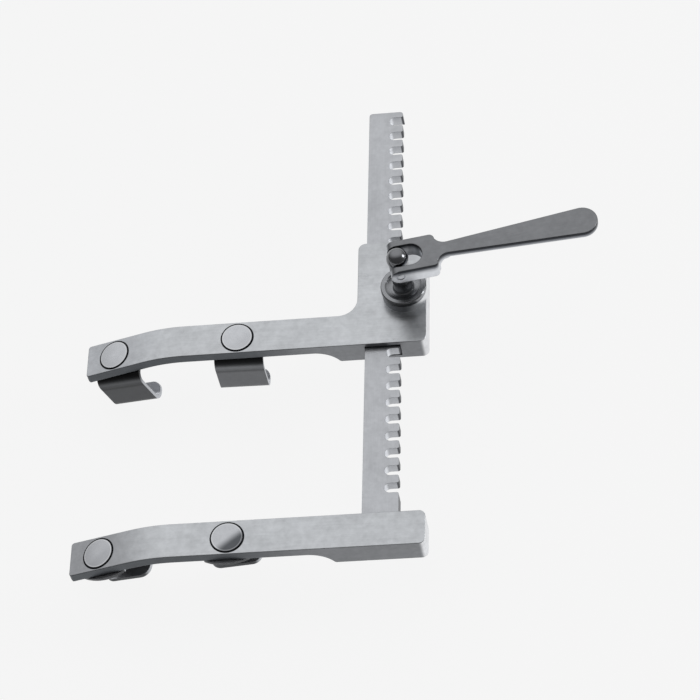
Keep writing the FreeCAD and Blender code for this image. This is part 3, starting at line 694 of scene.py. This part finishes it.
@dataclass(frozen=True)
class HandleFinish(SteelFinish):
    """Brushed steel of the crank handle, with a painted shadow on its sides just below the top and painted
    reflected light further down.

    Attributes:
        top: height of the handle's top, in metres.
        shadow: colour of the painted shadow on the sides just below the top.
        fading: painted colour between the painted shadow and the painted light.
        depths: how far down the painted shadow ends, the fading and front colours are reached, and the
        right one is reached, in metres.
    """

    top: float = 37.4 * MM
    shadow: Colour = (0.030, 0.032, 0.038)
    fading: Colour = (0.21, 0.22, 0.24)
    depths: tuple[float, float, float, float] = (1.0 * MM, 1.9 * MM, 3.0 * MM, 4.0 * MM)

    def painted_side_colour(self, sheet: NodeSheet, place: Socket, normal: bpy.types.Node) -> Socket:
        """Return the side's painted shadow and light from its depth below the top.

        Args:
            sheet: the material's nodes.
            place: the object's own coordinates.
            normal: the node that splits the object's own normal.

        Returns:
            The colour.
        """
        depth = sheet.math("SUBTRACT", self.top, sheet.split(place).outputs["Z"])
        colours = (self.shadow, self.fading, self.front, self.right)
        return sheet.stops(depth, self.depths[-1], ((0.0, self.shadow), *zip(self.depths, colours)))


@dataclass(frozen=True)
class DiscFinish(SteelFinish):
    """Blasted face of a rivet, with a painted highlight on its rim, painted shade on its outer edge and a
    painted dark reflection on one side.

    Attributes:
        radius: the disc's radius, in metres.
        rim: colour of the painted highlight on the rim.
        outer: colour of the painted shade on the edge outside the rim.
        shade: colour of the painted dark reflection on one side.
        shade_share: how strongly the painted dark reflection shows.
        shade_way: direction towards the painted dark reflection.
        shade_reach: how far that way the shade begins and is full, in metres.
        rim_reach: how far inside the radius the painted rim highlight begins and is full, in metres.
        outer_reach: the same for the painted shade on the edge outside it.
    """

    radius: float = 6.4 * MM
    rim: Colour = (0.66, 0.67, 0.69)
    outer: Colour = (0.05, 0.052, 0.058)
    shade: Colour = (0.075, 0.08, 0.088)
    shade_share: float = 0.0
    shade_way: tuple[float, float] = (0.62, -0.78)
    shade_reach: tuple[float, float] = (-0.3 * MM, 3.6 * MM)
    rim_reach: tuple[float, float] = (0.75 * MM, 0.50 * MM)
    outer_reach: tuple[float, float] = (0.34 * MM, 0.18 * MM)

    def face_colour(self, sheet: NodeSheet, place: Socket) -> Socket:
        """Return the face's colour, with its painted highlight, shade and dark reflection, from its distance
        from the axis and the side that it lies on.

        Args:
            sheet: the material's nodes.
            place: the object's own coordinates.

        Returns:
            The colour.
        """
        local = sheet.split(self.pivot.local(sheet, place))
        # Painted dark reflection towards one side.
        slant = sheet.math("ADD", sheet.math("MULTIPLY", local.outputs["X"], self.shade_way[0]),
                           sheet.math("MULTIPLY", local.outputs["Y"], self.shade_way[1]))
        dark = sheet.ramp(slant, *self.shade_reach, 0.0, self.shade_share)
        colour = sheet.blend(dark, self.face, self.shade)
        distance = self.pivot.off_axis(sheet, place)
        # Painted highlight on the rim, weaker where the dark reflection lies.
        rim = sheet.ramp(distance, *(self.radius - reach for reach in self.rim_reach), 0.0, 0.75)
        rim = sheet.math("MULTIPLY", rim, sheet.ramp(dark, 0.0, 1.0, 1.0, 0.35))
        colour = sheet.blend(rim, colour, self.rim)
        # Painted shade on the outer edge.
        edge = sheet.ramp(distance, *(self.radius - reach for reach in self.outer_reach))
        return sheet.blend(edge, colour, self.outer)


@dataclass(frozen=True)
class BladeFinish(SteelFinish):
    """Matt steel of a hook blade, with bands of painted shade and painted highlight down its plate below the
    rolled shoulder.

    Attributes:
        bands: depth below the arm's top face, in metres, with the plate's colour there.
        ends: the same for the plate's cut ends.
        tops: the same for the faces that look up.
        span: the depth of the last band, in metres.
    """
    # ends: the same for the plate's cut ends, whose light colour is a painted highlight.

    # tops: the same for the faces that look up, which take painted shade under the arm.
    bands: Bands = ()
    ends: Bands = ()
    tops: Bands = ()
    span: float = 25.0 * MM
    side_turn: tuple[float, float] = (0.35, 0.85)

    def face_colour(self, sheet: NodeSheet, place: Socket) -> Socket:
        """Return the painted colour of the faces that look up from their depth."""
        return sheet.stops(self._depth(sheet, place), self.span, self.tops)

    def painted_side_colour(self, sheet: NodeSheet, place: Socket, normal: bpy.types.Node) -> Socket:
        """Return the side's painted shade and light from its depth and the way it looks.

        Args:
            sheet: the material's nodes.
            place: the object's own coordinates.
            normal: the node that splits the object's own normal.

        Returns:
            The colour.
        """
        depth = self._depth(sheet, place)
        plate = sheet.stops(depth, self.span, self.bands)
        ends = sheet.stops(depth, self.span, self.ends)
        return sheet.blend(sheet.ramp(normal.outputs["X"], *self.side_turn), plate, ends)

    def _depth(self, sheet: NodeSheet, place: Socket) -> Socket:
        """Return the depth below the arm's top face, along the rivet's axis."""
        local = sheet.split(self.pivot.local(sheet, place))
        return sheet.math("MULTIPLY", local.outputs["Z"], -1.0)


# Satin steel: faces, painted shade on sides to the front, painted light on sides to the right, and a painted
# highlight on the edges.
SATIN = ((0.506, 0.522, 0.543), (0.086, 0.093, 0.102), (0.80, 0.81, 0.83), (0.52, 0.53, 0.55))
HANDLE_TURN = math.radians(8.9)
TIP_DIP = math.radians(17.5)
ARM_TOP = 11.1 * MM
ARM_SPACING = 94.6 * MM
PINION = Pivot((9.4 * MM, 110.8 * MM, 0.0))


def grey(tone: float) -> Colour:
    """Return the slightly blue grey of steel for a plain tone."""
    return (tone * 0.975, tone, tone * 1.05)


def arm_pivots(along: float) -> dict[str, Pivot]:
    """Return the two rivet axes of an arm.

    Args:
        along: the arm's place along the bar, in metres.

    Returns:
        The inner and the outer axis by name.
    """
    return {"inner": Pivot((-60.0 * MM, along, ARM_TOP)),
            "outer": Pivot((-112.997 * MM, along, 4.259 * MM), TIP_DIP)}


def dress(nodes: Iterable[str], material: bpy.types.Material, frame: dict) -> None:
    """Give CAD nodes a material.

    Args:
        nodes: the nodes' names.
        material: the material for all of them.
    """
    for name in nodes:
        mesh = frame["nodes"][name].data
        if not mesh.materials:
            mesh.materials.append(material)
        for slot in range(len(mesh.materials)):
            mesh.materials[slot] = material
        log.info("dressed %s with %s", name, material.name)


@dataclass
class ToothedBar:
    """The toothed bar, with its underside relieved below the teeth.

    Light shows through the slots beneath that relief. The bar stays inside the CAD bar and
    takes its plan, with rounder tooth tips. Sizes are in metres.

    Attributes:
        left: the plain side, across the bar.
        right: the toothed side, across the bar.
        start: the end inside the fixed arm, along the bar.
        end: the free end, along the bar.
        top: height of the top face.
        bottom: height of the plain underside.
        tooth_bottom: height of the underside below the teeth.
        relief: where the relieved underside begins across the bar.
        relief_ends: where it begins and stops along the bar.
        first: middle of the first slot, along the bar.
        pitch: distance from slot to slot.
        count: number of slots.
        slot_half: half a slot's width, which is also the radius of its floor.
        floor_middle: middle of the slots' round floor, across the bar.
        tip_round: radius of the tooth tips.
        corner: radius of the free end's corners.
        steps: straight pieces in a quarter circle.
    """

    left: float = -7.25 * MM
    right: float = 7.25 * MM
    start: float = -4.5 * MM
    end: float = 209.1 * MM
    top: float = 8.2 * MM
    bottom: float = 1.8 * MM
    tooth_bottom: float = 3.6 * MM
    relief: float = 1.0 * MM
    relief_ends: tuple[float, float] = (17.0 * MM, 207.2 * MM)
    first: float = 20.1 * MM
    pitch: float = 8.0 * MM
    count: int = 24
    slot_half: float = 2.175 * MM
    floor_middle: float = 3.625 * MM
    tip_round: float = 0.8 * MM
    corner: float = 1.4 * MM
    steps: int = 8

    def build(self, material: bpy.types.Material) -> bpy.types.Object:
        """Build the bar in place of the CAD bar.

        Args:
            material: the bar's finish.

        Returns:
            The new piece.
        """
        points, faces = [], []
        self._wall(points, faces, self._outline(), self.tooth_bottom, self.top, lid=True)
        self._wall(points, faces, self._foot(), self.bottom, self.tooth_bottom, lid=False)
        mesh = bpy.data.meshes.new("toothed_bar")
        mesh.from_pydata(points, [], faces)
        mesh.materials.append(material)
        piece = bpy.data.objects.new("toothed_bar", mesh)
        bpy.context.scene.collection.objects.link(piece)
        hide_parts("rack_bar")
        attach(piece, "fixed_frame")
        log.info("built %s with %s", piece.name, material.name)
        return piece

    def _arc(self, middle: tuple[float, float], radius: float, begin: float,
             turn: float) -> Plan:
        """Return points on an arc.

        Args:
            middle: the arc's centre.
            radius: its radius.
            begin: its first angle, in degrees.
            turn: how far it turns, in degrees.

        Returns:
            The points in order.
        """
        parts = max(2, round(self.steps * abs(turn) / 90.0))
        angles = [math.radians(begin + turn * part / parts) for part in range(parts + 1)]
        return [(middle[0] + radius * math.cos(angle), middle[1] + radius * math.sin(angle))
                for angle in angles]

    def _free_end(self) -> Plan:
        """Return the rounded corners of the free end.

        Returns:
            The points, anticlockwise.
        """
        inner = self.end - self.corner
        return (self._arc((self.right - self.corner, inner), self.corner, 0.0, 90.0)
                + self._arc((self.left + self.corner, inner), self.corner, 90.0, 90.0))

    def _outline(self) -> Plan:
        """Return the plan with its slots.

        Returns:
            The points, anticlockwise.
        """
        points = [(self.left, self.start), (self.right, self.start)]
        tip = self.right - self.tip_round
        for number in range(self.count):
            middle = self.first + number * self.pitch
            near, far = middle - self.slot_half, middle + self.slot_half
            points += self._arc((tip, near - self.tip_round), self.tip_round, 0.0, 90.0)
            points += self._arc((self.floor_middle, middle), self.slot_half, -90.0, -180.0)
            points += self._arc((tip, far + self.tip_round), self.tip_round, -90.0, 90.0)
        return points + self._free_end()

    def _foot(self) -> Plan:
        """Return the plan of the part that reaches the plain underside.

        Returns:
            The points, anticlockwise.
        """
        near, far = self.relief_ends
        return [(self.left, self.start), (self.right, self.start), (self.right, near), (self.relief, near),
                (self.relief, far), (self.right, far)] + self._free_end()

    def _wall(self, points: list, faces: list, plan: Plan, low: float, high: float,
              lid: bool) -> None:
        """Add an upright wall round a plan with its floor, and with a lid where it has one.

        Args:
            points: the mesh's points so far.
            faces: the mesh's faces so far.
            plan: the plan's points, anticlockwise.
            low: the wall's lower height.
            high: the wall's upper height.
            lid: whether the wall is closed at the top.
        """
        base, size = len(points), len(plan)
        points += [(x, y, low) for x, y in plan] + [(x, y, high) for x, y in plan]
        faces.append(tuple(base + step for step in reversed(range(size))))
        if lid:
            faces.append(tuple(base + size + step for step in range(size)))
        for step in range(size):
            after = (step + 1) % size
            faces.append((base + step, base + after, base + size + after, base + size + step))


@dataclass
class FixedFrame:
    """The fixed arm with the toothed bar that is doweled into it."""

    arm: str = "fixed_arm"
    dowels: str = "rack_pins"
    bar: ToothedBar = field(default_factory=ToothedBar)

    def dress(self, frame: dict) -> None:
        """Give the arm, the bar and the dowels their finishes.
        """
        satin = ArmFinish("fixed_arm_satin", *SATIN, Grain.ALONG_ARM, tone=0.24, tip=grey(0.335),
                          seats=tuple(arm_pivots(0.0).values())).build()
        # Bar: painted light on the slot walls and the slot ends, and a painted dark line along the edges.
        bar = BarFinish("bar_satin", grey(0.465), grey(0.50), grey(0.86), grey(0.16),
                        Grain.ALONG_BAR, tone=0.20).build()
        dress([self.arm, self.dowels], satin, frame)
        self.bar.build(bar)


@dataclass
class MovingFrame:
    """The moving arm with its housing, cover and screws."""

    arm: str = "moving_arm"
    cover: tuple[str, ...] = ("housing_cover", "cover_screws", "thrust_washer")

    def dress(self, frame: dict) -> None:
        """Give the arm, the cover and the screws their finishes.
        """
        satin = ArmFinish("moving_arm_satin", *SATIN, Grain.ALONG_ARM, roughness=0.30, tone=0.24,
                          seats=tuple(arm_pivots(ARM_SPACING).values())).build()
        dress([self.arm], satin, frame)
        dress(self.cover, satin, frame)


@dataclass
class Crank:
    """The pinion drum, the dished knob and the ball post."""

    turned_nodes: tuple[str, ...] = ("crank_drum", "crank_knob", "drive_pins", "pinion_screw")
    ball: str = "ball_post"

    def dress(self, frame: dict) -> None:
        """Give the turned parts a dark base colour that stands in for their dark reflections, with painted
        shade on their sides.
        """
        knob = SteelFinish("knob_polish", grey(0.285), grey(0.088), grey(0.26), grey(0.46),
                           Grain.TURNED, roughness=0.27, side_roughness=0.24, grain_depth=0.05,
                           tone=0.12, pivot=PINION).build()
        ball = SteelFinish("ball_polish", grey(0.205), grey(0.155), grey(0.245), grey(0.4),
                           Grain.TURNED, roughness=0.20, side_roughness=0.20, grain_depth=0.015,
                           tone=0.05, pivot=PINION).build()
        dress(self.turned_nodes, knob, frame)
        dress([self.ball], ball, frame)


@dataclass
class Handle:
    """The folding crank handle and its hinge pin."""

    nodes: tuple[str, ...] = ("crank_handle", "hinge_pin")

    def dress(self, frame: dict) -> None:
        """Give the handle its darker brushed top and its sides with painted shadow and painted reflected
        light.
        """
        finish = HandleFinish("handle_brushed", grey(0.212), grey(0.56), grey(0.72), grey(0.045),
                              Grain.ALONG_HANDLE, side_roughness=0.30, edge_size=0.35 * MM,
                              tone=0.22, heading=HANDLE_TURN).build()
        dress(self.nodes, finish, frame)


@dataclass
class Blade:
    """One swivelling hook blade with its rivet and its spacer.

    Attributes:
        arm: which arm carries it, fixed or moving.
        seat: which rivet holds it, inner or outer.
        along: the arm's place along the bar, in metres.
        plate: tone of the plate.
        face: tone of the faces that look up, raised on the moving arm's blades as painted light.
        disc: tone of the rivet's disc.
        disc_shade: how strongly the disc's painted dark reflection shows.
    """

    arm: str
    seat: str
    along: float
    plate: float
    face: float
    disc: float
    disc_shade: float

    def dress(self, frame: dict) -> None:
        """Give the blade, its rivet and its spacer their finishes.
        """
        place = self.arm + "_" + self.seat
        pivot = arm_pivots(self.along)[self.seat]
        disc = DiscFinish("disc_" + place, grey(self.disc), grey(0.03), grey(0.03), grey(0.30),
                          Grain.BLASTED, roughness=0.30, grain_depth=0.03, tone=0.10,
                          edge_share=0.2, pivot=pivot, shade_share=self.disc_shade).build()
        bands, ends, tops = self._painted_shoulder() if self.arm == "moving" else self._plain()
        matt = BladeFinish("matt_" + place, grey(self.face), grey(self.plate), grey(0.55), grey(0.34),
                           Grain.ALONG_ARM, roughness=0.38, side_roughness=0.42, tone=0.16,
                           pivot=pivot, bands=bands, ends=ends, tops=tops).build()
        dress(["blade_" + place, "spacer_" + place], matt, frame)
        dress(["rivet_" + place], disc, frame)

    def _painted_shoulder(self) -> tuple[Bands, ...]:
        """Return the bands of a plate with painted shade on the rolled shoulder under the arm and a painted
        highlight below it.

        Returns:
            The bands of the plate, of its ends and of the faces that look up.
        """
        plate = self.plate
        bands = ((0.0, 0.02), (6.0, 0.025), (8.0, plate * 1.4), (9.4, plate * 0.9),
                 (10.3, plate * 0.6), (11.8, plate), (25.0, plate))
        ends = ((0.0, 0.03), (6.0, 0.05), (10.0, 0.55), (25.0, 0.60))
        tops = ((0.0, 0.02), (5.5, 0.02), (8.0, plate * 1.4), (10.5, self.face), (25.0, self.face))
        return tuple(tuple((depth * MM, grey(tone)) for depth, tone in row)
                     for row in (bands, ends, tops))

    def _plain(self) -> tuple[Bands, ...]:
        """Return even colours for a plate that is seen from its edge."""
        tones = (self.plate, 0.57, self.face)
        return tuple(((0.0, grey(tone)), (25.0 * MM, grey(tone))) for tone in tones)


# The moving blades' brighter face tone is painted light; disc_shade sets each disc's painted dark reflection.
BLADES = (Blade("fixed", "inner", 0.0, 0.09, 0.42, 0.50, 0.95),
          Blade("fixed", "outer", 0.0, 0.09, 0.42, 0.47, 0.15),
          Blade("moving", "inner", ARM_SPACING, 0.155, 0.72, 0.54, 0.10),
          Blade("moving", "outer", ARM_SPACING, 0.085, 0.72, 0.54, 0.05))


@dataclass
class Studio:
    """Pale floor, soft surroundings and one lamp.

    Attributes:
        floor_level: height of the floor, in metres.
        floor_tone: the floor's colour as it should render.
        floor_share: how much of that colour is even, the rest takes light and shadow.
        bright: strength of the surroundings where they are brightest, high at the back.
        dim: strength of the surroundings elsewhere.
        bright_way: the direction in which the surroundings are brightest.
        bright_reach: cosine of the angle from that direction at which they begin to brighten,
            and at which they are brightest.
        floor_half: half the floor's side, in metres.
    """

    floor_level: float
    floor_tone: float = 0.943
    floor_share: float = 0.93
    bright: float = 1.0
    dim: float = 0.16
    bright_way: tuple[float, float, float] = (-0.10, 0.62, 0.78)
    bright_reach: tuple[float, float] = (0.30, 0.92)
    floor_half: float = 8.0

    def build(self) -> None:
        """Build the floor, the world and the lamp."""
        self._floor()
        self._world()
        self._lamp("right", (1.10, 0.30, 0.55), 0.45, 4.0)

    def _floor(self) -> None:
        """Lay the floor."""
        half, level = self.floor_half, self.floor_level
        mesh = bpy.data.meshes.new("floor")
        sides = ((-half, -half), (half, -half), (half, half), (-half, half))
        mesh.from_pydata([(x, y, level) for x, y in sides], [], [(0, 1, 2, 3)])
        floor = bpy.data.objects.new("floor", mesh)
        bpy.context.scene.collection.objects.link(floor)
        floor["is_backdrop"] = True
        material = bpy.data.materials.new("floor_paper")
        material.use_nodes = True
        tree = material.node_tree
        tree.nodes.clear()
        sheet = NodeSheet(material)
        output = sheet.add("ShaderNodeOutputMaterial")
        paper = sheet.add("ShaderNodeBsdfDiffuse")
        paper.inputs["Color"].default_value = (0.80, 0.80, 0.80, 1.0)
        glow = sheet.add("ShaderNodeEmission")
        glow.inputs["Color"].default_value = (1.0, 1.0, 1.0, 1.0)
        glow.inputs["Strength"].default_value = self.floor_tone
        path = sheet.add("ShaderNodeLightPath")
        seen = sheet.math("MAXIMUM", path.outputs["Is Camera Ray"], path.outputs["Is Glossy Ray"])
        seen = sheet.math("MAXIMUM", seen, path.outputs["Is Transmission Ray"])
        mix = sheet.add("ShaderNodeMixShader")
        sheet.join(sheet.math("MULTIPLY", seen, self.floor_share), mix.inputs[0])
        sheet.join(paper.outputs[0], mix.inputs[1])
        sheet.join(glow.outputs[0], mix.inputs[2])
        sheet.join(mix.outputs[0], output.inputs["Surface"])
        mesh.materials.append(material)

    def _world(self) -> None:
        """Make surroundings that are bright high at the back and dim in front."""
        world = bpy.data.worlds.new("studio")
        world.use_nodes = True
        bpy.context.scene.world = world
        tree = world.node_tree
        background = next(n for n in tree.nodes if n.type == "BACKGROUND")
        place = tree.nodes.new("ShaderNodeTexCoord")
        aim = tree.nodes.new("ShaderNodeVectorMath")
        aim.operation = "DOT_PRODUCT"
        aim.inputs[1].default_value = Vector(self.bright_way).normalized()
        tree.links.new(place.outputs["Generated"], aim.inputs[0])
        ramp = tree.nodes.new("ShaderNodeMapRange")
        ramp.interpolation_type = "SMOOTHSTEP"
        for name, value in zip(("From Min", "From Max", "To Min", "To Max"),
                               (*self.bright_reach, self.dim, self.bright)):
            ramp.inputs[name].default_value = value
        tree.links.new(aim.outputs["Value"], ramp.inputs["Value"])
        tree.links.new(ramp.outputs["Result"], background.inputs["Strength"])
        background.inputs["Color"].default_value = (1.0, 1.0, 1.0, 1.0)

    def _lamp(self, name: str, place: tuple[float, float, float], size: float,
              power: float) -> None:
        """Hang one square soft light that looks at the object.

        Args:
            name: the lamp's name.
            place: where it hangs, in metres.
            size: its side, in metres.
            power: its power, in watts.
        """
        data = bpy.data.lights.new(name, "AREA")
        data.shape = "SQUARE"
        data.size = size
        data.energy = power
        lamp = bpy.data.objects.new(name, data)
        lamp.location = place
        aim = Vector((-0.02, 0.09, 0.0)) - Vector(place)
        lamp.rotation_euler = aim.to_track_quat("-Z", "Y").to_euler()
        bpy.context.scene.collection.objects.link(lamp)


@dataclass
class Viewpoint:
    """The camera at the photograph's viewing angle.

    Attributes:
        place: where it stands, in metres.
        across: the picture's rightward direction.
        upward: the picture's upward direction.
        backward: the direction from the object to the camera.
        lens: focal length on a 36 mm sensor, in millimetres.
    """

    place: tuple[float, float, float] = (0.13255, -0.54346, 0.92894)
    across: tuple[float, float, float] = (0.98947, 0.01960, -0.14343)
    upward: tuple[float, float, float] = (0.06429, 0.82823, 0.55669)
    backward: tuple[float, float, float] = (0.12971, -0.56004, 0.81825)
    lens: float = 142.1

    def build(self) -> None:
        """Make the camera and use it for the scene."""
        data = bpy.data.cameras.new("viewpoint")
        data.lens = self.lens
        data.sensor_width = 36.0
        data.sensor_fit = "HORIZONTAL"
        data.clip_start = 0.05
        data.clip_end = 50.0
        data.dof.use_dof = False
        camera = bpy.data.objects.new("viewpoint", data)
        bpy.context.scene.collection.objects.link(camera)
        turn = Matrix((self.across, self.upward, self.backward)).transposed()
        camera.matrix_world = Matrix.Translation(self.place) @ turn.to_4x4()
        bpy.context.scene.camera = camera


def main(frame: dict, cad_box: tuple[Vector, Vector]) -> None:
    """Args:
        cad_box: the CAD model's box, taken straight after the load.
    """
    scene = bpy.context.scene
    scene.view_settings.view_transform = "Standard"
    Viewpoint().build()
    Studio(floor_level=cad_box[0].z - 0.02 * MM).build()
    FixedFrame().dress(frame)
    MovingFrame().dress(frame)
    Crank().dress(frame)
    Handle().dress(frame)
    for blade in BLADES:
        blade.dress(frame)


if __name__ == "__main__":
    logging.basicConfig(level=logging.INFO)
    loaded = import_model()
    main(loaded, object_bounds())
